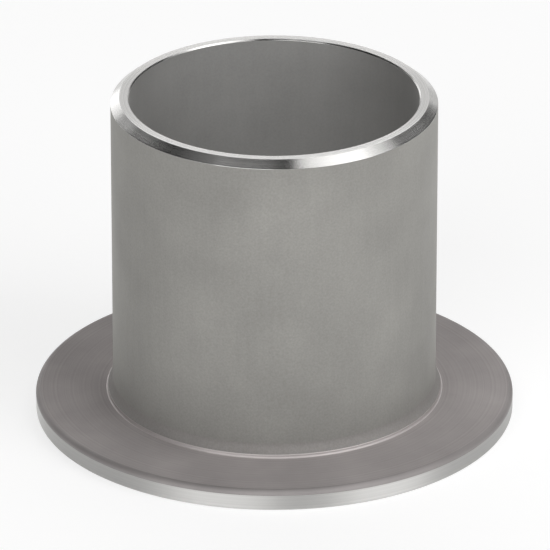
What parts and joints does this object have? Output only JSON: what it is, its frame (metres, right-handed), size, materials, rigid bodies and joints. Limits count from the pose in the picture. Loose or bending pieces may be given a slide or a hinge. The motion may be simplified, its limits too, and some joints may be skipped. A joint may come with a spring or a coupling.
{
  "type": "lap joint stub end",
  "caption": "One-piece stainless pipe stub end: a straight barrel bevelled for butt welding, ending in a flat lap that a loose backing flange seats on.",
  "frame": {"origin": "centre of the gasket face, which is the flat underside of the lap", "axes": "+Z along the barrel's axis, from the gasket face towards the weld end; the part is round, so X and Y are free"},
  "size_m": [0.0724, 0.0724, 0.051],
  "materials": {
    "stainless_steel": "pickled satin barrel, turned lap, bevel and root face"
  },
  "bodies": {
    "root": {"stub_end": "stainless_steel"}
  },
  "joints": []
}
